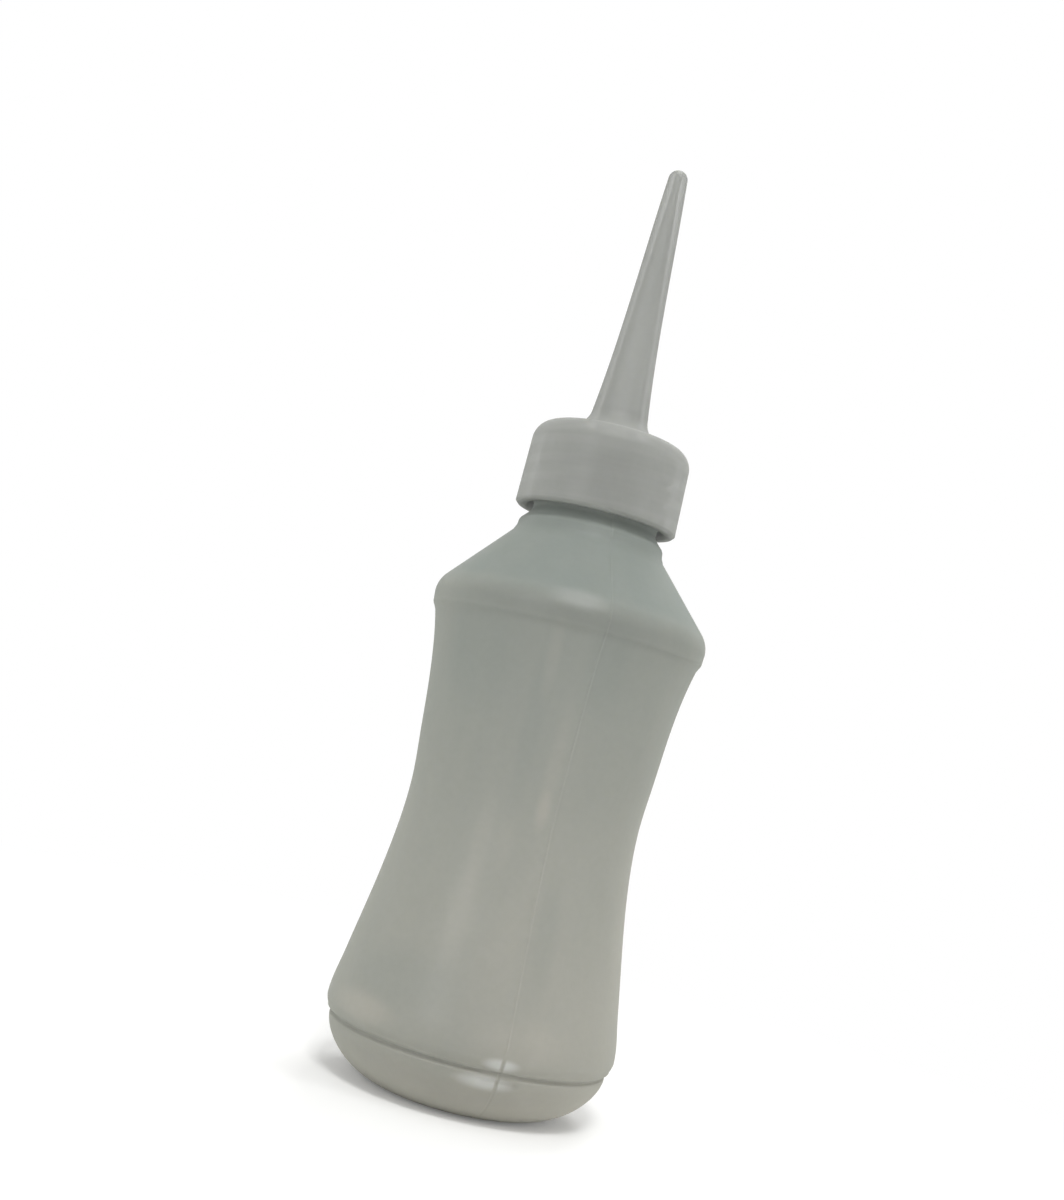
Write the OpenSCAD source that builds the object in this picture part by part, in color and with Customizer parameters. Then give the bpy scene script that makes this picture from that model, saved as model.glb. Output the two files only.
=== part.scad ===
// Waisted squeeze bottle with a screw-on nozzle cap.
// Z is the axis of the bottle, the origin is the centre of the ring it stands on.

/* [Body] */
// Widest diameter of the body, just above the mould groove
body_d = 61.6; // [60:0.2:64]
// Height of the widest point
body_z = 14.5; // [14.4:0.1:17]
// Diameter of the waist
waist_d = 49.4; // [44:0.2:54]
// Height of the waist
waist_z = 60.5; // [50:0.5:70]
// Wall of the body
wall = 1; // [0.8:0.1:1.4]

/* [Heel and base] */
// Diameter of the ring that the bottle stands on
foot_d = 33; // [30:1:38]
// Height of the mould groove round the heel
groove_z = 11.6; // [11:0.1:12.5]
// Diameter of the heel at the groove
heel_d = 58.8; // [58:0.1:59.2]
// Depth of the groove
groove_depth = 0.35; // [0.2:0.05:0.6]
// Rise of the pushed-in base at its centre
push_up = 2.6; // [1.5:0.1:4]

/* [Shoulder] */
// Diameter of the rounded shoulder ring
ring_d = 59.4; // [58:0.2:61]
// Height of the widest point of the ring
ring_z = 102.2; // [101:0.1:104]
// Diameter of the body at the crease under the ring
crease_d = 57.4; // [56:0.2:58.4]
// Height of the crease
crease_z = 97.4; // [96.5:0.1:98.5]
// Diameter of the ledge above the cone
ledge_d = 32; // [31.4:0.1:32.6]
// Height of the ledge
ledge_z = 120.8; // [120.4:0.1:121.4]

/* [Neck] */
// Diameter of the neck between its threads
neck_d = 26.2; // [26:0.1:26.6]
// Bore of the neck
mouth_d = 22.2; // [21:0.1:22.2]
// Height of the lip
lip_z = 140.8; // [140:0.1:142]

/* [Nozzle cap] */
// Outer diameter of the skirt
cap_d = 35.2; // [34.6:0.1:37]
// Height from the skirt's rim to the flat round the nozzle
skirt_h = 18.8; // [18.4:0.1:20]
// Height of the cap with its nozzle
cap_h = 80.2; // [70:0.2:90]
// Diameter of the nozzle where it leaves the top
nozzle_root_d = 12.2; // [11:0.1:13]
// Diameter of the nozzle under its round tip
nozzle_tip_d = 4.3; // [4:0.1:5]
// Diameter of the outlet in the tip
outlet_d = 1.6; // [1.2:0.1:2]

/* [Hidden] */
milky = [0.62, 0.63, 0.60, 0.8];
$fn = 96;

// Height of the heel's rounding under the groove, and how full it is (1 is a quarter ellipse)
heel_h = groove_z - 0.8;
heel_power = 1.2;
// Distance of the groove's round centre outside the heel's face
groove_out = 0.3;
// Where the side wall starts above the groove, and how far it overhangs the heel
side_start = 0.75;
side_out = 0.7;
side_start_in = 1.6;
side_out_in = 1.1;
// Side wall: the end of the swell above the widest point, and the start of the upper flare
swell_z = 24;
swell_in = 1.45;
flare_z = waist_z + 9;
flare_out = 0.55;
crease_step = 0.3;
// Slopes of the side wall, as growth of the radius for each millimetre up
low_slope = 0.5;
swell_slope = -0.165;
flare_slope = 0.092;
crease_slope = 0.25;
// How far inside the foot ring the pushed-in base ends, outside and inside the wall
base_in = 2.5;
base_in_inside = 3.4;
// Radii of the ring's rounding over into the cone, and of its lower edge with its height over the crease
ring_round = 2.8;
ring_edge = 1.7;
edge_up = 1.75;
edge_in = 0.15;
// Angle of the cone's outward normal above the horizontal
cone_tilt = 42;
// Points where the cone ends, and up the ledge's face
cone_end = [ledge_d / 2 + 0.75, ledge_z - 3];
ledge_low = [ledge_d / 2 + 0.15, ledge_z - 1.7];
ledge_high = [ledge_d / 2, ledge_z - 0.5];
// Neck details above the ledge: a notch at the root, a bead over it and the rounded lip
root_z = 123.6;
root_d = 27.2;
bead_z = 125.5;
bead_d = 28.1;
bead_round = 0.9;
bead_top = 1.3;
root_d_in = mouth_d + 4.2;
lip_round = 1.9;
// Cap details
cap_top = 1.9;
cap_round = 4.3;
bore_d = 29.6;
rim_lead = 0.5;
nozzle_fillet = 5.4;
nozzle_wall = 1.4;
seat_gap = 0.02;
cap_z = lip_z + seat_gap + cap_top - skirt_h;

// Points on an arc about [cx, cz], angles from +X
function arc(cx, cz, r, a0, a1, n) =
    [for (i = [0:n]) let (a = a0 + (a1 - a0) * i / n) [cx + r * cos(a), cz + r * sin(a)]];

// Points on a smooth curve between two heights, with the radius and its slope given at each
function sweep(z0, r0, m0, z1, r1, m1, n) =
    [for (i = [0:n]) let (u = i / n, h = z1 - z0)
        [(2 * pow(u, 3) - 3 * pow(u, 2) + 1) * r0 + (pow(u, 3) - 2 * pow(u, 2) + u) * h * m0
            + (3 * pow(u, 2) - 2 * pow(u, 3)) * r1 + (pow(u, 3) - pow(u, 2)) * h * m1,
            z0 + u * h]];

// Quarter of a rounded heel, from its foot at r_in out and up to r_out
function heel(r_in, r_out, z0, h, n) =
    [for (i = [0:n]) let (a = 90 * i / n)
        [r_in + (r_out - r_in) * pow(sin(a), heel_power), z0 + h * (1 - pow(cos(a), heel_power))]];

// The waisted side wall, drawn a distance t inside the outer face
function side(t, z_low, r_low) = concat(
    sweep(z_low, r_low - t, low_slope, body_z, body_d / 2 - t, 0, 5),
    sweep(body_z, body_d / 2 - t, 0, swell_z, body_d / 2 - swell_in - t, swell_slope, 5),
    sweep(swell_z, body_d / 2 - swell_in - t, swell_slope, waist_z, waist_d / 2 - t, 0, 16),
    sweep(waist_z, waist_d / 2 - t, 0, flare_z, waist_d / 2 + flare_out - t, flare_slope, 5),
    sweep(flare_z, waist_d / 2 + flare_out - t, flare_slope,
        crease_z - crease_step, crease_d / 2 - t, crease_slope, 10));

module bottle_outside() {
    ring_c = ring_d / 2 - ring_round;
    edge_c = ring_d / 2 - edge_in - ring_edge;
    polygon(concat(
        [[0, push_up]],
        sweep_base(foot_d / 2 - base_in, push_up, 0),
        heel(foot_d / 2, heel_d / 2, 0, heel_h, 12),
        arc(heel_d / 2 + groove_out, groove_z, groove_out + groove_depth, -115, -250, 6),
        side(0, groove_z + side_start, heel_d / 2 + side_out),
        arc(edge_c, crease_z + edge_up, ring_edge, -50, 0, 5),
        arc(ring_c, ring_z, ring_round, 0, cone_tilt, 6),
        [cone_end, ledge_low, ledge_high],
        sweep(ledge_z, ledge_d / 2 - 0.25, -1, root_z, root_d / 2, -0.25, 6),
        arc(bead_d / 2 - bead_round, bead_z, bead_round, -60, 60, 6),
        [[neck_d / 2, bead_z + bead_top]],
        arc(neck_d / 2 - lip_round, lip_z - lip_round, lip_round, 0, 90, 6),
        [[0, lip_z]]));
}

// Underside of the base between the centre and the foot ring
function sweep_base(r_in, rise, z0) =
    [for (i = [1:8]) let (u = i / 8) [r_in * u, z0 + rise * (1 - u * u)]];

module bottle_inside() {
    ring_c = ring_d / 2 - ring_round;
    polygon(concat(
        [[0, push_up + wall]],
        sweep_base(foot_d / 2 - base_in_inside, push_up, wall),
        heel(foot_d / 2, heel_d / 2 - wall, wall, groove_z - wall, 10),
        side(wall, groove_z + side_start_in, heel_d / 2 + side_out_in),
        arc(ring_c, ring_z, ring_round - wall, -40, cone_tilt, 8),
        [[ledge_d / 2 - wall, cone_end[1] + 0.4], [root_d_in / 2, ledge_z]],
        [[mouth_d / 2, root_z]],
        [[mouth_d / 2, lip_z + 1], [0, lip_z + 1]]));
}

// Blow-moulded bottle: one even wall, open at the mouth
module bottle() {
    color(milky) rotate_extrude() difference() {
        bottle_outside();
        bottle_inside();
    }
}

module cap_outside() {
    r = cap_d / 2;
    root = nozzle_root_d / 2;
    tip = nozzle_tip_d / 2;
    tip_z = cap_h - tip;
    polygon(concat(
        [[0, 0], [r - rim_lead, 0], [r, rim_lead]],
        arc(r - 0.25 - cap_round, skirt_h - cap_round, cap_round, 0, 90, 9),
        arc(root + nozzle_fillet, skirt_h + nozzle_fillet, nozzle_fillet, -90, -180, 9),
        sweep(skirt_h + nozzle_fillet + 0.6, root - 0.1, -0.12, tip_z, tip, -0.075, 12),
        arc(0, tip_z, tip, 5, 90, 6)));
}

module cap_inside() {
    root = nozzle_root_d / 2 - nozzle_wall;
    top = skirt_h - cap_top;
    polygon(concat(
        [[0, -1], [bore_d / 2 + rim_lead, -1], [bore_d / 2 + rim_lead, 0], [bore_d / 2, rim_lead * 2]],
        [[bore_d / 2, top - 1], [bore_d / 2 - 1, top]],
        arc(root + nozzle_fillet / 2, top + nozzle_fillet / 2, nozzle_fillet / 2, -90, -180, 6),
        [[outlet_d / 2, cap_h - 5], [outlet_d / 2, cap_h + 1], [0, cap_h + 1]]));
}

// Injection-moulded cap: skirt, top and hollow nozzle in one piece, seated on the lip
module nozzle_cap() {
    color(milky) translate([0, 0, cap_z]) rotate_extrude() difference() {
        cap_outside();
        cap_inside();
    }
}

bottle();
nozzle_cap();
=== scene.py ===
import math

import bpy
from mathutils import Matrix, Vector


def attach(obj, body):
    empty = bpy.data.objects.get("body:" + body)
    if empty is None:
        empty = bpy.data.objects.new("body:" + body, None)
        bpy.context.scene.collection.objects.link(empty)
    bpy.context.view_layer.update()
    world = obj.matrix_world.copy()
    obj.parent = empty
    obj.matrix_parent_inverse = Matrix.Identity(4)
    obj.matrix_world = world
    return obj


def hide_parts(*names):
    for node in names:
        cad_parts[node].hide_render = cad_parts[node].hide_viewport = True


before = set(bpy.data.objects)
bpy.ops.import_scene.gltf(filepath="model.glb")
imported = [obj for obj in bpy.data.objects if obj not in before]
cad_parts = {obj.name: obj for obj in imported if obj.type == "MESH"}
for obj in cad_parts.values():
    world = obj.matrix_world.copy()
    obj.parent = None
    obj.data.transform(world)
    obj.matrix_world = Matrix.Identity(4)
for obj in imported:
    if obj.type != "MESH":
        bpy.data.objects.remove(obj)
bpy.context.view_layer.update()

# Camera
# It stands where the photograph's camera stood: close in front of the bottle, a little to its left
# and under its middle, and rolled so that the bottle leans to the right.
mm = 0.001
eye = Vector((-26.9, -329.9, 72.7)) * mm
aim = Vector((-9, 0, 104)) * mm
lean = math.radians(13.9)
focal_length = 46.5
sensor_width = 36
nearest_seen = 10 * mm

camera_data = bpy.data.cameras.new("camera")
camera_data.lens = focal_length
camera_data.sensor_width = sensor_width
camera_data.clip_start = nearest_seen
camera = bpy.data.objects.new("camera", camera_data)
bpy.context.scene.collection.objects.link(camera)
bpy.context.scene.camera = camera

forward = (aim - eye).normalized()
level = forward.cross(Vector((0, 0, 1))).normalized()
upright = level.cross(forward)
right = level * math.cos(lean) + upright * math.sin(lean)
up = upright * math.cos(lean) - level * math.sin(lean)
camera.matrix_world = Matrix.Translation(eye) @ Matrix((right, up, -forward)).transposed().to_4x4()


# Bottle
# One blow-moulded piece of milky low-density polyethylene with an even wall, open at the mouth.
# The mould's halves leave a fine seam down two sides, and its base insert leaves the groove.
body_d = 61.6 * mm
body_z = 14.5 * mm
waist_d = 49.4 * mm
waist_z = 60.5 * mm
swell_z = 24 * mm
swell_in = 1.45 * mm
flare_z = waist_z + 9 * mm
flare_out = 0.55 * mm
crease_step = 0.3 * mm
low_slope = 0.5
swell_slope = -0.165
flare_slope = 0.092
crease_slope = 0.25
wall = 1 * mm

foot_d = 33 * mm
base_in = 2.5 * mm
base_in_inside = 3.4 * mm
push_up = 2.6 * mm
groove_z = 11.6 * mm
groove_depth = 0.35 * mm
groove_out = 0.1 * mm
heel_d = 58.8 * mm
heel_h = groove_z - 0.8 * mm
heel_power = 1.2
side_start = 0.75 * mm
side_out = 0.7 * mm
side_start_in = 1.6 * mm
side_out_in = 1.1 * mm
groove_from = -115
groove_to = -250

ring_d = 59.4 * mm
ring_z = 101.0 * mm
ring_round = 6 * mm
ring_edge = 1.7 * mm
edge_up = 1.75 * mm
edge_in = 0.15 * mm
crease_d = 57.4 * mm
crease_z = 97.4 * mm
ring_under = -38
ring_under_inside = -40
cone_tilt = 42
ledge_d = 32 * mm
ledge_z = 120.8 * mm
ledge_top_in = 0.25 * mm
ledge_slope = -1
cone_end = (ledge_d / 2 + 0.75 * mm, ledge_z - 3 * mm)
cone_end_up = 0.4 * mm
ledge_low = (ledge_d / 2 + 0.15 * mm, ledge_z - 1.7 * mm)
ledge_high = (ledge_d / 2, ledge_z - 0.5 * mm)

neck_d = 26.2 * mm
mouth_d = 22.2 * mm
root_z = 123.6 * mm
root_d = 27.2 * mm
root_slope = -0.25
root_d_in = mouth_d + 4.2 * mm
bead_z = 125.5 * mm
bead_d = 28.1 * mm
bead_round = 0.9 * mm
bead_turn = 60
bead_top = 1.3 * mm
lip_z = 140.8 * mm
lip_round = 1.9 * mm
lip_from = 6

thread_pitch = 4.2 * mm
neck_thread_z = 130.5 * mm
neck_thread_turns = 1.6
neck_thread_rise = 0.8 * mm
neck_thread_crest = 1 * mm
thread_flank = 0.8 * mm
thread_gap = 0.26 * mm
plain_gap = 2 * mm
inside_gap = 2.4 * mm

seam_turn = math.radians(-80)
seam_rise = 0.11 * mm
seam_half = 0.35 * mm
seam_top = bead_z - 2 * mm
thread_turn = (math.pi - seam_turn) / math.tau
insert_line_z = groove_z - 1.7 * mm
insert_line_depth = 0.35 * mm
insert_line_half = 0.45 * mm
groove_gap_half = 3.9 * mm
unevenness = 0.25 * mm
uneven_low = groove_z + 1 * mm
thread_low = bead_z + 1.2 * mm
thread_high = lip_z - lip_round + 0.1 * mm


def arc(centre_r, centre_z, radius, start, end, steps):
    """Points of the section on an arc, with its angles in degrees from outward."""
    angles = [math.radians(start + (end - start) * i / steps) for i in range(steps + 1)]
    return [(centre_r + radius * math.cos(a), centre_z + radius * math.sin(a)) for a in angles]


def sweep(z0, r0, slope0, z1, r1, slope1, steps):
    """Points on a smooth curve between two heights, with the radius and its slope given at each."""
    points = []
    rise = z1 - z0
    for i in range(steps + 1):
        u = i / steps
        start = (2 * u**3 - 3 * u**2 + 1) * r0 + (u**3 - 2 * u**2 + u) * rise * slope0
        end = (3 * u**2 - 2 * u**3) * r1 + (u**3 - u**2) * rise * slope1
        points.append((start + end, z0 + u * rise))
    return points


def line(points, gap):
    """The same corners with more points between them, no further apart than gap."""
    out = [points[0]]
    for (r0, z0), (r1, z1) in zip(points, points[1:]):
        steps = max(1, math.ceil(math.hypot(r1 - r0, z1 - z0) / gap))
        out += [(r0 + (r1 - r0) * i / steps, z0 + (z1 - z0) * i / steps)
                for i in range(1, steps + 1)]
    return out


def heel(r_in, r_out, z_low, height, steps):
    """The rounded heel, from the foot ring at r_in out and up to r_out."""
    angles = [math.pi / 2 * i / steps for i in range(steps + 1)]
    return [(r_in + (r_out - r_in) * math.sin(a)**heel_power,
             z_low + height * (1 - math.cos(a)**heel_power)) for a in angles]


def base(r_out, z_low, steps):
    """The pushed-in base, from the axis out."""
    return [(r_out * i / steps, z_low + push_up * (1 - (i / steps)**2)) for i in range(steps + 1)]


def side(inset, z_low, r_low, steps):
    """The waisted side wall, drawn inset from the outer face."""
    stations = [(z_low, r_low, low_slope),
                (body_z, body_d / 2, 0),
                (swell_z, body_d / 2 - swell_in, swell_slope),
                (waist_z, waist_d / 2, 0),
                (flare_z, waist_d / 2 + flare_out, flare_slope),
                (crease_z - crease_step, crease_d / 2, crease_slope)]
    points = []
    for (z0, r0, m0), (z1, r1, m1), count in zip(stations, stations[1:], steps):
        points += sweep(z0, r0 - inset, m0, z1, r1 - inset, m1, count)[:-1]
    return points + [(stations[-1][1] - inset, stations[-1][0])]


groove = arc(heel_d / 2 + groove_out, groove_z, groove_out + groove_depth, groove_from, groove_to, steps=14)
ring_over = arc(ring_d / 2 - ring_round, ring_z, ring_round, 0, cone_tilt, steps=8)
bottle_outer = (
    base(foot_d / 2 - base_in, 0, steps=10)
    + heel(foot_d / 2, heel_d / 2, 0, heel_h, steps=30)
    + groove
    + side(0, groove_z + side_start, heel_d / 2 + side_out, steps=(6, 8, 22, 8, 18))
    + arc(ring_d / 2 - edge_in - ring_edge, crease_z + edge_up, ring_edge, ring_under, 0, steps=8)
    + ring_over
    + line([ring_over[-1], cone_end], plain_gap)[1:]
    + [ledge_low, ledge_high]
    + sweep(ledge_z, ledge_d / 2 - ledge_top_in, ledge_slope, root_z, root_d / 2, root_slope, steps=10)
    + arc(bead_d / 2 - bead_round, bead_z, bead_round, -bead_turn, bead_turn, steps=8)
    + line([(neck_d / 2, bead_z + bead_top), (neck_d / 2, lip_z - lip_round)], thread_gap)
    + arc(neck_d / 2 - lip_round, lip_z - lip_round, lip_round, lip_from, 90, steps=8))
bottle_inner = (
    line([(mouth_d / 2, lip_z), (mouth_d / 2, root_z), (root_d_in / 2, ledge_z),
          (ledge_d / 2 - wall, cone_end[1] + cone_end_up)], inside_gap)
    + arc(ring_d / 2 - ring_round, ring_z, ring_round - wall, cone_tilt, ring_under_inside, steps=8)
    + side(wall, groove_z + side_start_in, heel_d / 2 + side_out_in, steps=(3, 4, 11, 4, 9))[::-1]
    + heel(foot_d / 2, heel_d / 2 - wall, wall, groove_z - wall, steps=12)[::-1]
    + base(foot_d / 2 - base_in_inside, wall, steps=6)[::-1])


class Wire:
    """A socket of a node tree. Arithmetic on it adds Math nodes to its tree."""

    def __init__(self, graph, socket):
        self.graph = graph
        self.socket = socket

    def __add__(self, other):
        return self.graph.math("ADD", self, other)

    def __radd__(self, other):
        return self.graph.math("ADD", other, self)

    def __sub__(self, other):
        return self.graph.math("SUBTRACT", self, other)

    def __rsub__(self, other):
        return self.graph.math("SUBTRACT", other, self)

    def __mul__(self, other):
        return self.graph.math("MULTIPLY", self, other)

    def __rmul__(self, other):
        return self.graph.math("MULTIPLY", other, self)

    def __truediv__(self, other):
        return self.graph.math("DIVIDE", self, other)


class Graph:
    """A node tree that is being drawn."""

    def __init__(self, tree):
        self.tree = tree

    def node(self, kind, settings=None, inputs=None, output=0):
        """Adds a node, first its settings and then the values or links of its sockets."""
        made = self.tree.nodes.new(kind)
        for name, value in (settings or {}).items():
            setattr(made, name, value)
        for key, value in (inputs or {}).items():
            if isinstance(value, Wire):
                self.tree.links.new(value.socket, made.inputs[key])
            else:
                made.inputs[key].default_value = value
        return Wire(self, made.outputs[output])

    def math(self, operation, *values):
        return self.node("ShaderNodeMath", {"operation": operation}, dict(enumerate(values)))

    def parts(self, vector):
        """The three numbers of a vector."""
        split = self.node("ShaderNodeSeparateXYZ", {}, {"Vector": vector})
        return [Wire(self, output) for output in split.socket.node.outputs]

    def smooth(self, value, low, high):
        """0 below low and 1 above high, with a soft change between them."""
        return self.node("ShaderNodeMapRange", {"interpolation_type": "SMOOTHSTEP"},
                         {"Value": value, "From Min": low, "From Max": high})


shell_inputs = {
    "Steps Round": "NodeSocketInt",
    "Seam Turn": "NodeSocketFloat",
    "Seam Half Width": "NodeSocketFloat",
    "Window Half Width": "NodeSocketFloat",
    "Thread Start": "NodeSocketFloat",
    "Thread Turn": "NodeSocketFloat",
    "Thread Pitch": "NodeSocketFloat",
    "Thread Turns": "NodeSocketFloat",
    "Thread Crest": "NodeSocketFloat",
    "Thread Flank": "NodeSocketFloat",
    "Unevenness": "NodeSocketFloat",
    "Material": "NodeSocketMaterial",
}


def turned_shell_tree():
    """Turns a section about the axis, with a seam, a window beside it and a thread where it says."""
    tree = bpy.data.node_groups.new("turned_shell", "GeometryNodeTree")
    tree.interface.new_socket("Section", in_out="INPUT", socket_type="NodeSocketGeometry")
    for name, kind in shell_inputs.items():
        tree.interface.new_socket(name, in_out="INPUT", socket_type=kind)
    tree.interface.new_socket("Shell", in_out="OUTPUT", socket_type="NodeSocketGeometry")
    graph = Graph(tree)
    group = tree.nodes.new("NodeGroupInput")
    given = {socket.name: Wire(graph, socket) for socket in group.outputs if socket.name}

    stations = graph.node("GeometryNodeAttributeDomainSize", {}, {"Geometry": given["Section"]})
    grid = graph.node("GeometryNodeMeshGrid", {}, {
        "Size X": 1, "Size Y": 1, "Vertices X": given["Steps Round"] + 1, "Vertices Y": stations})
    place = graph.node("GeometryNodeInputPosition")
    across, along, _ = graph.parts(place)
    row = graph.math("ROUND", (along + 0.5) * (stations - 1))

    def sampled(kind, field):
        return graph.node("GeometryNodeSampleIndex", {"data_type": kind, "domain": "POINT"},
                          {"Geometry": given["Section"], "Value": field, "Index": row})

    def named(name):
        field = graph.node("GeometryNodeInputNamedAttribute", {"data_type": "FLOAT"}, {"Name": name})
        return sampled("FLOAT", field)

    # Columns stand closer together at the seams, where there is more to draw
    crowding = 0.8
    lap_share = across + 0.5
    turn = lap_share * math.tau - graph.math("SINE", lap_share * (2 * math.tau)) * (crowding / 2)
    angle = turn + given["Seam Turn"]
    station = sampled("FLOAT_VECTOR", place)
    radius, _, height = graph.parts(station)

    off_seam = graph.math("ABSOLUTE", radius * graph.math("SINE", turn))
    ridge = 1 - graph.smooth(off_seam, 0, given["Seam Half Width"])
    window_full = 0.8
    window_gone = 1.15
    window = 1 - graph.smooth(off_seam, given["Window Half Width"] * window_full,
                              given["Window Half Width"] * window_gone)

    lap = turn / math.tau - given["Thread Turn"]
    climbed = (height - given["Thread Start"]) / given["Thread Pitch"]
    wound = graph.math("ROUND", climbed - lap) + lap
    off_crest = graph.math("ABSOLUTE", climbed - wound) * given["Thread Pitch"]
    half_crest = given["Thread Crest"] / 2
    flank = 1 - graph.smooth(off_crest, half_crest, half_crest + given["Thread Flank"])
    run_out = 0.09
    started = graph.smooth(wound, 0, run_out)
    not_ended = graph.smooth(given["Thread Turns"] - wound, 0, run_out)

    # Shallow unevenness of the blown wall, with a dent every 30 mm or so in each direction
    dents = 30.0
    girth = 30 * mm
    out_x = graph.math("COSINE", angle)
    out_y = graph.math("SINE", angle)
    on_wall = graph.node("ShaderNodeCombineXYZ", {}, {
        "X": out_x * girth + radius, "Y": out_y * girth, "Z": height})
    uneven = graph.node("ShaderNodeTexNoise", {"noise_dimensions": "3D"}, {
        "Vector": on_wall, "Scale": dents, "Detail": 1.0})

    moved = (radius + named("seam_rise") * ridge + named("window_rise") * window
             + named("thread_rise") * flank * started * not_ended
             - uneven * named("uneven") * given["Unevenness"])
    placed = graph.node("ShaderNodeCombineXYZ", {}, {
        "X": moved * out_x, "Y": moved * out_y, "Z": height})
    turned = graph.node("GeometryNodeSetPosition", {}, {"Geometry": grid, "Position": placed})
    same_place = 0.001 * mm
    closed = graph.node("GeometryNodeMergeByDistance", {}, {"Geometry": turned, "Distance": same_place})
    smooth = graph.node("GeometryNodeSetShadeSmooth", {}, {"Geometry": closed})
    real = graph.node("GeometryNodeRealizeInstances", {}, {"Geometry": smooth})
    finished = graph.node("GeometryNodeSetMaterial", {}, {"Geometry": real, "Material": given["Material"]})
    out = tree.nodes.new("NodeGroupOutput")
    tree.links.new(finished.socket, out.inputs["Shell"])
    return tree


shell_tree = turned_shell_tree()


def turned_shell(name, section, rises, sizes):
    """A closed shell turned from the section. rises gives each station how far its details stand out."""
    mesh = bpy.data.meshes.new(name + "_section")
    mesh.from_pydata([(r, 0, z) for r, z in section], [], [])
    for rise, values in rises.items():
        attribute = mesh.attributes.new(rise, "FLOAT", "POINT")
        attribute.data.foreach_set("value", values)
    drawn = bpy.data.objects.new(name + "_section", mesh)
    bpy.context.scene.collection.objects.link(drawn)
    modifier = drawn.modifiers.new("turned_shell", "NODES")
    modifier.node_group = shell_tree
    for item in shell_tree.interface.items_tree:
        if item.name in sizes:
            modifier[item.identifier] = sizes[item.name]
    bpy.context.view_layer.update()
    evaluated = drawn.evaluated_get(bpy.context.evaluated_depsgraph_get())
    piece = bpy.data.objects.new(name, bpy.data.meshes.new_from_object(evaluated))
    drawn.modifiers.remove(modifier)
    bpy.data.objects.remove(drawn)
    bpy.context.scene.collection.objects.link(piece)
    return piece


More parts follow.
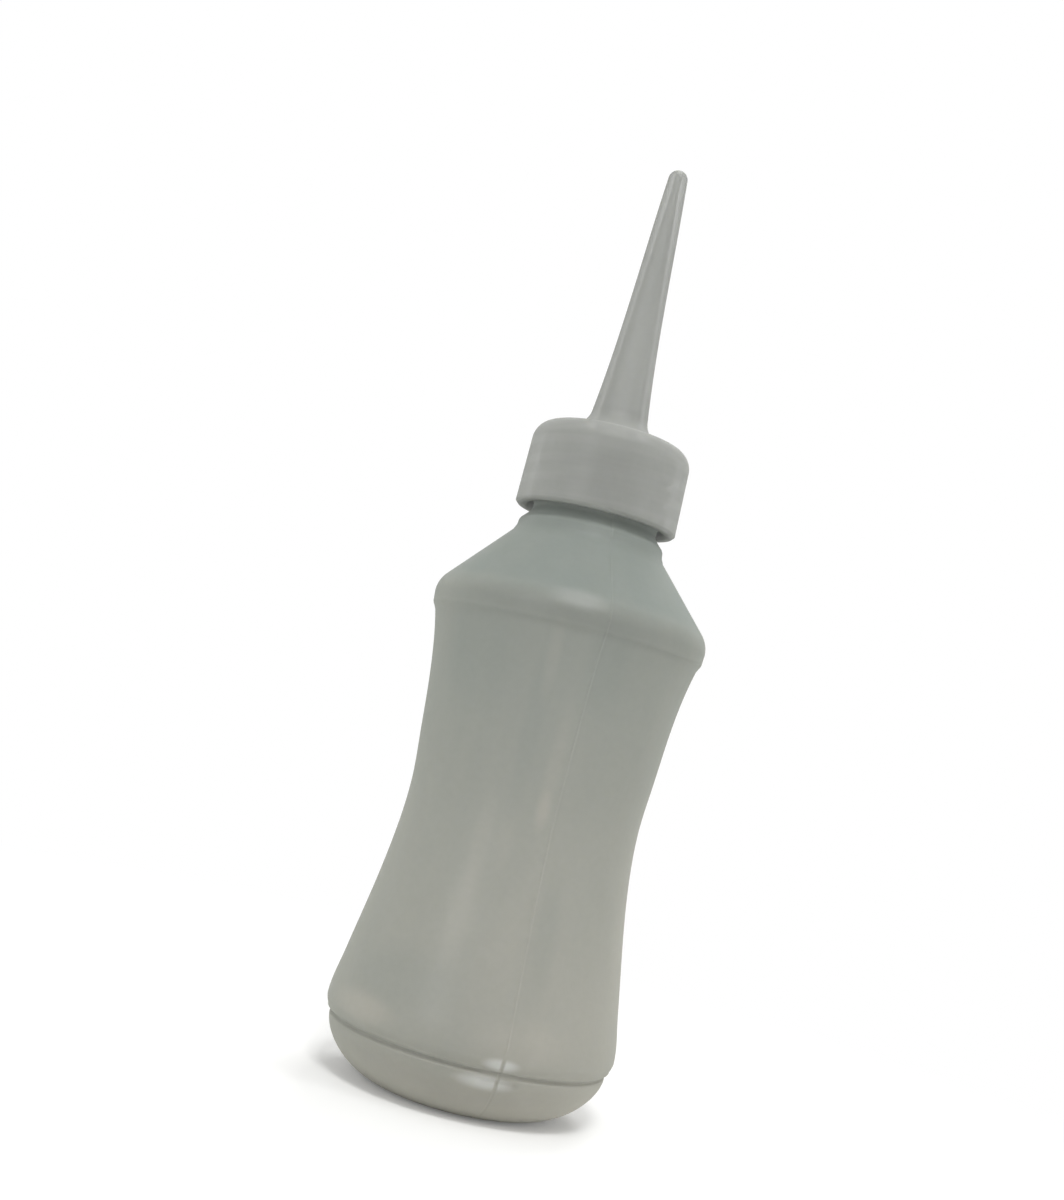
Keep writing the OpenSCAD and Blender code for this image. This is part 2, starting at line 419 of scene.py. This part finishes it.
def milky_plastic(name, cool, warm, see_through, grain, height_tone,
                  side_light_and_tone=0, clouds_and_reflections=(), painted_shade=(), painted_highlights=(), ribbed=None):
    """Milky polyethylene: cloudy, a little streaked upwards, and finely grained by its mould."""
    material = bpy.data.materials.new(name)
    material.use_nodes = True
    graph = Graph(material.node_tree)
    shader = material.node_tree.nodes["Principled BSDF"]
    coordinates = graph.node("ShaderNodeTexCoord", output="Object")
    x, y, height = graph.parts(coordinates)
    turn = graph.math("ARCTAN2", x, 0 - y)
    on_wall = graph.node("ShaderNodeCombineXYZ", {}, {"X": turn, "Y": height})

    def cloud(stretch, scale, detail):
        spread = graph.node("ShaderNodeMapping", {}, {"Vector": coordinates, "Scale": stretch})
        return graph.node("ShaderNodeTexNoise", {}, {"Vector": spread, "Scale": scale, "Detail": detail})

    def patch(turn_at, height_at, half_turn, half_height):
        """1 in the middle of a soft oval on the wall, and 0 outside it."""
        size = (math.radians(half_turn), half_height * mm, 1)
        apart = graph.node("ShaderNodeVectorMath", {"operation": "SUBTRACT"}, {
            0: on_wall, 1: (math.radians(turn_at), height_at * mm, 0)})
        scaled = graph.node("ShaderNodeVectorMath", {"operation": "DIVIDE"}, {0: apart, 1: size})
        off = graph.node("ShaderNodeVectorMath", {"operation": "LENGTH"}, {0: scaled}, output=1)
        oval_full = 0.25
        oval_gone = 1.1
        return 1 - graph.smooth(off, oval_full, oval_gone)

    broad = cloud(stretch=(1, 1, 0.6), scale=22.0, detail=2.0)
    streaks = cloud(stretch=(1, 1, 0.1), scale=110.0, detail=2.0)
    fine = cloud(stretch=(1, 1, 1), scale=grain, detail=3.0)

    # How warm and pale the plastic is drawn, from 0 for the cool colour to 1 for the warm one; the bottle's
    # painted light and shade are added below
    broad_share = 0.45
    streak_share = 0.3
    amount = (broad - 0.5) * broad_share + (streaks - 0.5) * streak_share
    # Paler or darker by height, as the height tone gives; for the bottle this is painted light and shade
    amount = amount + height_tone[0][1]
    for (low, below), (high, above) in zip(height_tone, height_tone[1:]):
        amount = amount + graph.smooth(height, low * mm, high * mm) * (above - below)
    # Painted light: the lower part is drawn paler and warmer towards the right side
    side_full = 30 * mm
    side_gone = 100 * mm
    to_right = graph.math("SINE", turn) * (1 - graph.smooth(height, side_full, side_gone))
    amount = amount + to_right * side_light_and_tone
    # Painted reflections and painted shade from these patches, with some clouds
    for *oval, strength in clouds_and_reflections:
        amount = amount + patch(*oval) * strength
    if ribbed:
        # The thread inside shows through as paler rings, where the wall is thicker. It starts three
        # quarters of a lap round from the front.
        start, pitch, low, high, strength = ribbed
        start_lap = 0.75
        crest_half = 0.1
        flank_half = 0.32
        fade = 1 * mm
        climbed = (height - start) / pitch - turn / math.tau + start_lap
        off_crest = graph.math("ABSOLUTE", climbed - graph.math("ROUND", climbed))
        threaded = graph.smooth(height, low, low + fade) * (1 - graph.smooth(height, high - fade, high))
        amount = amount + (1 - graph.smooth(off_crest, crest_half, flank_half)) * threaded * strength

    # Painted shade: these patches darken the colour evenly
    shade = 0
    for *oval, strength in painted_shade:
        shade = patch(*oval) * strength + shade
    # Painted highlights: these patches are mixed towards a pale colour
    white = 0
    for *oval, strength in painted_highlights:
        white = patch(*oval) * strength + white
    if painted_highlights:
        # The front seam stays dark where it crosses a painted highlight
        front_seam = seam_turn + math.pi / 2
        line_half = math.radians(0.3)
        line_gone = math.radians(1.2)
        off_seam = graph.math("ABSOLUTE", turn - front_seam)
        white = white * graph.smooth(off_seam, line_half, line_gone)
    painted_highlight_colour = (0.75, 0.76, 0.74, 1)
    speckle_darkest = 0.96
    speckle_span = 0.08
    tone = graph.node("ShaderNodeMix", {"data_type": "RGBA", "clamp_factor": False},
                      {0: amount, 6: (*cool, 1), 7: (*warm, 1)}, output=2)
    with_painted_highlights = graph.node("ShaderNodeMix", {"data_type": "RGBA"},
                       {0: white, 6: tone, 7: painted_highlight_colour}, output=2)
    # The mould's fine speckle, darkened by the painted shade
    speckle_and_shade = graph.node("ShaderNodeCombineColor", {}, {
        key: (speckle_darkest + fine * speckle_span) * (1 - shade) for key in ("Red", "Green", "Blue")})
    colour = graph.node("ShaderNodeMix", {"data_type": "RGBA", "blend_type": "MULTIPLY"},
                        {0: 1.0, 6: with_painted_highlights, 7: speckle_and_shade}, output=2)
    bump_height = 0.06 * mm
    bump_strength = 0.25
    streak_height = 2
    bump = graph.node("ShaderNodeBump", {}, {
        "Strength": bump_strength, "Distance": bump_height, "Height": fine + streaks * streak_height})

    # Towards the outline one looks along the wall, so that it is denser there and less glossy
    facing = graph.node("ShaderNodeLayerWeight", {}, {"Blend": 0.5}, output="Facing")
    cloud_clearness = 0.1
    clear = (see_through + (broad - 0.5) * cloud_clearness) * (1 - facing)
    smoothest = 0.3
    grain_roughness = 0.1
    edge_roughness = 0.7
    roughness = smoothest + fine * grain_roughness + facing * edge_roughness

    links = material.node_tree.links
    links.new(colour.socket, shader.inputs["Base Color"])
    links.new(roughness.socket, shader.inputs["Roughness"])
    links.new((1 - clear).socket, shader.inputs["Alpha"])
    links.new(bump.socket, shader.inputs["Normal"])
    shader.inputs["Specular IOR Level"].default_value = 0.3
    shader.inputs["Subsurface Weight"].default_value = 0.3
    shader.inputs["Subsurface Radius"].default_value = (1.0, 1.0, 0.8)
    shader.inputs["Subsurface Scale"].default_value = 3 * mm
    return material


def bottle_rises(section, outer_count):
    """How far the seam, the window beside it and the thread stand out at each station of the bottle."""
    names = ("seam_rise", "window_rise", "thread_rise", "uneven")
    rises = {name: [0.0] * len(section) for name in names}
    (low_r, low_z), (high_r, high_z) = groove[0], groove[-1]
    for i, (r, z) in enumerate(section[:outer_count]):
        if r > 0 and z <= seam_top:
            rises["seam_rise"][i] = seam_rise if z > body_z else -seam_rise
        if r > foot_d / 2 and low_z < z < high_z:
            # The groove is filled at the seam, where the base insert and the mould's halves meet
            rises["window_rise"][i] = low_r + (high_r - low_r) * (z - low_z) / (high_z - low_z) - r
        elif r > foot_d / 2:
            off_line = (z - insert_line_z) / insert_line_half
            rises["window_rise"][i] = -insert_line_depth * math.exp(-off_line**2)
        if thread_low < z < thread_high:
            rises["thread_rise"][i] = neck_thread_rise
        if uneven_low < z < seam_top:
            rises["uneven"][i] = 1.0
    return rises


# Painted light and shade by height: how warm and pale the bottle is drawn at some heights in mm, from 0,
# cool, to 1, warm
# It is paler towards the bottom, palest at the heel, and darker on the cone of the shoulder
bottle_height_light_and_tone = [(3, 0.75), (14, 0.42), (34, 0.42), (92, 0.03), (102, 0.0), (107, -0.35)]
# Streaks and clouds of the wall, which on the front are partly painted reflections and painted shade: turn
# from the front and height, half width and half height, in degrees and mm, and how much paler
bottle_clouds_and_reflections = [
    (-8, 91, 4, 11, 0.2),
    (4, 71, 5, 15, 0.16),
    (4, 62, 4.5, 5, 0.3),
    (-10, 78, 6, 22, -0.12),
    (-20, 52, 6, 14, 0.16),
    (-20, 39, 10, 11, 0.14),
    (-10, 54, 6, 7, 0.1),
    (-1, 36, 12, 11, 0.05),
    (17, 38, 8, 15, -0.18),
    (-38, 24, 30, 8, -0.17),
    (-42, 90, 26, 14, -0.12),
    (15, 91, 12, 14, -0.14),
    (-52, 16.5, 22, 3.6, 0.4),
    (18, 18, 24, 6, 0.22),
    (38, 42, 34, 16, -0.1),

    # The sides and the back, which the photograph doesn't show, are streaked in the same way
    (100, 50, 9, 22, 0.16),
    (118, 80, 8, 16, -0.14),
    (150, 36, 9, 16, -0.16),
    (163, 64, 6, 16, 0.2),
    (-161, 74, 7, 20, -0.14),
    (-152, 38, 10, 14, 0.18),
    (-126, 26, 18, 8, -0.16),
    (-104, 62, 8, 22, 0.14),
]
# Painted shade: the ring is a little darker all along the front
bottle_painted_shade = [(0, 101, 80, 4.2, 0.14)]
# Painted highlights: glints over and under the groove at both seams, and a soft highlight on the ring's
# crown
bottle_painted_highlights = [
    (9.5, 13.6, 8, 1.5, 0.55),
    (5, 9.6, 13, 1.8, 0.5),
    (-170, 13.6, 7, 1.5, 0.4),
    (-168, 9.6, 9, 1.8, 0.4),
    (-3, 103.8, 14, 2.6, 0.13),
]
bottle_plastic = milky_plastic(
    "bottle_milky", cool=(0.295, 0.309, 0.278), warm=(0.428, 0.414, 0.362), see_through=0.42, grain=700.0,
    height_tone=bottle_height_light_and_tone, side_light_and_tone=0.1, clouds_and_reflections=bottle_clouds_and_reflections, painted_shade=bottle_painted_shade,
    painted_highlights=bottle_painted_highlights)
bottle_section = bottle_outer + bottle_inner
bottle = turned_shell("bottle_shell", bottle_section, bottle_rises(bottle_section, len(bottle_outer)), {
    "Steps Round": 240,
    "Seam Turn": seam_turn,
    "Seam Half Width": seam_half,
    "Window Half Width": groove_gap_half,
    "Thread Start": neck_thread_z,
    "Thread Turn": thread_turn,
    "Thread Pitch": thread_pitch,
    "Thread Turns": neck_thread_turns,
    "Thread Crest": neck_thread_crest,
    "Thread Flank": thread_flank,
    "Unevenness": unevenness,
    "Material": bottle_plastic,
})
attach(bottle, "bottle")
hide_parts("bottle")


# Nozzle cap
# One injection-moulded piece: a threaded skirt, a rounded top and a long hollow nozzle. It screws
# down until the flat under its top seals on the bottle's lip.
cap_d = 35.2 * mm
skirt_h = 18.8 * mm
cap_h = 80.2 * mm
nozzle_root_d = 12.2 * mm
nozzle_tip_d = 4.3 * mm
outlet_d = 1.6 * mm
cap_top = 1.9 * mm
cap_round = 4.3 * mm
round_from = 5
bore_d = 29.6 * mm
rim_lead = 0.5 * mm
skirt_draft = 0.25 * mm
nozzle_fillet = 5.4 * mm
nozzle_wall = 1.4 * mm
nozzle_low_slope = -0.12
nozzle_high_slope = -0.075
nozzle_start_up = 0.6 * mm
nozzle_start_in = 0.1 * mm
outlet_h = 5 * mm
outlet_lead = 0.2 * mm
outlet_rim = 0.25 * mm
tip_edge = 66
seal_gap = 0.02 * mm
cap_z = lip_z + seal_gap + cap_top - skirt_h
cap_thread_rise = -1.3 * mm
cap_thread_crest = 0.9 * mm
cap_thread_turns = 2.0
cap_thread_z = neck_thread_z - thread_pitch / 2

nozzle_r = nozzle_root_d / 2
tip_r = nozzle_tip_d / 2
channel_r = nozzle_r - nozzle_wall
under_top = skirt_h - cap_top
inner_fillet = nozzle_fillet / 2
outlet_end = cap_h - outlet_rim
cap_outer = (
    line([(cap_d / 2 - rim_lead, 0), (cap_d / 2, rim_lead)], gap=0.3 * mm)
    + line([(cap_d / 2, rim_lead + 0.3 * mm), (cap_d / 2 - skirt_draft, skirt_h - cap_round)], gap=1.2 * mm)
    + arc(cap_d / 2 - skirt_draft - cap_round, skirt_h - cap_round, cap_round, round_from, 90, steps=14)
    + arc(nozzle_r + nozzle_fillet, skirt_h + nozzle_fillet, nozzle_fillet, -90, -180, steps=14)
    + sweep(skirt_h + nozzle_fillet + nozzle_start_up, nozzle_r - nozzle_start_in, nozzle_low_slope,
            cap_h - tip_r, tip_r, nozzle_high_slope, steps=26)
    + arc(0, cap_h - tip_r, tip_r, round_from, tip_edge, steps=8))
cap_inner = (
    line([(outlet_d / 2, outlet_end - outlet_lead), (outlet_d / 2, cap_h - outlet_h),
          (channel_r, under_top + inner_fillet)], gap=3 * mm)
    + arc(channel_r + inner_fillet, under_top + inner_fillet, inner_fillet, -180, -90, steps=6)
    + line([(channel_r + inner_fillet + 0.5 * mm, under_top), (bore_d / 2 - 1 * mm, under_top)], plain_gap)
    + line([(bore_d / 2, under_top - 1 * mm), (bore_d / 2, rim_lead * 2)], thread_gap)
    + [(bore_d / 2 + rim_lead, 0)])
cap_section = [(r, z + cap_z) for r, z in cap_outer + cap_inner + cap_outer[:1]]
bore_low = cap_z + rim_lead * 2
bore_high = cap_z + under_top - 1 * mm


def cap_rises(section, outer_count):
    """How far the thread stands into the bore at each station of the cap. The cap has no seam."""
    on_bore = [i >= outer_count and r > bore_d / 2 - 0.01 * mm and bore_low <= z <= bore_high
               for i, (r, z) in enumerate(section)]
    plain = [0.0] * len(section)
    return {"seam_rise": plain, "window_rise": plain, "uneven": plain,
            "thread_rise": [cap_thread_rise * here for here in on_bore]}


cap_plastic = milky_plastic(
    "cap_milky", cool=(0.295, 0.303, 0.284), warm=(0.345, 0.353, 0.332), see_through=0.5, grain=800.0,
    height_tone=[(150, 0.5), (190, 0)], ribbed=(cap_thread_z, thread_pitch, bore_low, bore_high, 0.4))
cap = turned_shell("nozzle_cap_shell", cap_section, cap_rises(cap_section, len(cap_outer)), {
    "Steps Round": 220,
    "Seam Turn": seam_turn,
    "Seam Half Width": seam_half,
    "Window Half Width": groove_gap_half,
    "Thread Start": cap_thread_z,
    "Thread Turn": thread_turn,
    "Thread Pitch": thread_pitch,
    "Thread Turns": cap_thread_turns,
    "Thread Crest": cap_thread_crest,
    "Thread Flank": thread_flank,
    "Unevenness": 0.0,
    "Material": cap_plastic,
})
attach(cap, "cap")
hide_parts("nozzle_cap")


# Floor, background and light
# A pale floor that keeps the shadow, a white surround, a lamp above the camera, tall lamps to its
# left and right, whose reflections add to the upright streaks painted on the bottle, and one over the far
# side.
floor_half = 3.0
floor_z = -0.05 * mm
floor_near = 60 * mm
floor_far = 260 * mm
floor_pale = (0.85, 0.85, 0.84, 1)
floor_lift = 0.1
white = (1, 1, 1, 1)
sky_strength = 0.61
floor_mesh = bpy.data.meshes.new("floor")
floor_corners = [(-1, -1), (1, -1), (1, 1), (-1, 1)]
floor_points = [(x * floor_half, y * floor_half, floor_z) for x, y in floor_corners]
floor_mesh.from_pydata(floor_points, [], [(0, 1, 2, 3)])
floor = bpy.data.objects.new("floor", floor_mesh)
bpy.context.scene.collection.objects.link(floor)
floor_paint = bpy.data.materials.new("floor_pale")
floor_paint.use_nodes = True
floor_graph = Graph(floor_paint.node_tree)
seen = floor_graph.node("ShaderNodeLightPath", output="Is Camera Ray")
spot = floor_graph.node("ShaderNodeTexCoord", output="Object")
distance = floor_graph.node("ShaderNodeVectorMath", {"operation": "LENGTH"}, {0: spot}, output=1)
faded = floor_graph.smooth(distance, floor_near, floor_far) * seen
pale = floor_graph.node("ShaderNodeBsdfDiffuse", {}, {"Color": floor_pale})
lift = floor_graph.node("ShaderNodeEmission", {}, {"Color": white, "Strength": seen * floor_lift})
near = floor_graph.node("ShaderNodeAddShader", {}, {0: pale, 1: lift})
far = floor_graph.node("ShaderNodeEmission", {}, {"Color": white, "Strength": 1})
both = floor_graph.node("ShaderNodeMixShader", {}, {0: faded, 1: near, 2: far})
# From underneath the floor is clear, so that the base shows
under = floor_graph.node("ShaderNodeNewGeometry", output="Backfacing") * seen
clear = floor_graph.node("ShaderNodeBsdfTransparent")
whole = floor_graph.node("ShaderNodeMixShader", {}, {0: under, 1: both, 2: clear})
floor_surface = floor_paint.node_tree.nodes["Material Output"].inputs["Surface"]
floor_paint.node_tree.links.new(whole.socket, floor_surface)
floor_mesh.materials.append(floor_paint)

world = bpy.data.worlds.new("surround")
bpy.context.scene.world = world
world.use_nodes = True
sky_graph = Graph(world.node_tree)
paths = sky_graph.node("ShaderNodeLightPath").socket.node.outputs
looks = ("Is Camera Ray", "Is Glossy Ray", "Is Transmission Ray")
by_camera, by_gloss, by_glass = [Wire(sky_graph, paths[look]) for look in looks]
direct = sky_graph.math("MAXIMUM", sky_graph.math("MAXIMUM", by_camera, by_gloss), by_glass)
sky = world.node_tree.nodes["Background"]
sky.inputs["Color"].default_value = white
world.node_tree.links.new((sky_strength + direct * (1 - sky_strength)).socket, sky.inputs["Strength"])


def soft_lamp(name, place, width, height, power):
    """An area lamp that faces the middle of the bottle."""
    data = bpy.data.lights.new(name, "AREA")
    data.shape = "RECTANGLE"
    data.size = width
    data.size_y = height
    data.energy = power
    lamp = bpy.data.objects.new(name, data)
    bpy.context.scene.collection.objects.link(lamp)
    lamp.location = place
    lamp.rotation_mode = "QUATERNION"
    middle = Vector((0, 0, 80 * mm))
    lamp.rotation_quaternion = (middle - Vector(place)).to_track_quat("-Z", "Y")


soft_lamp("light_overhead", (0, -0.68, 0.9), width=0.26, height=0.2, power=5)
soft_lamp("light_left", (-0.7, -0.85, 0.5), width=0.1, height=0.6, power=3.6)
soft_lamp("light_right", (0.95, -0.45, 0.5), width=0.15, height=0.5, power=2.2)
soft_lamp("light_behind", (0.3, 0.85, 1), width=0.6, height=0.5, power=5)

bpy.context.scene.view_settings.view_transform = "Standard"
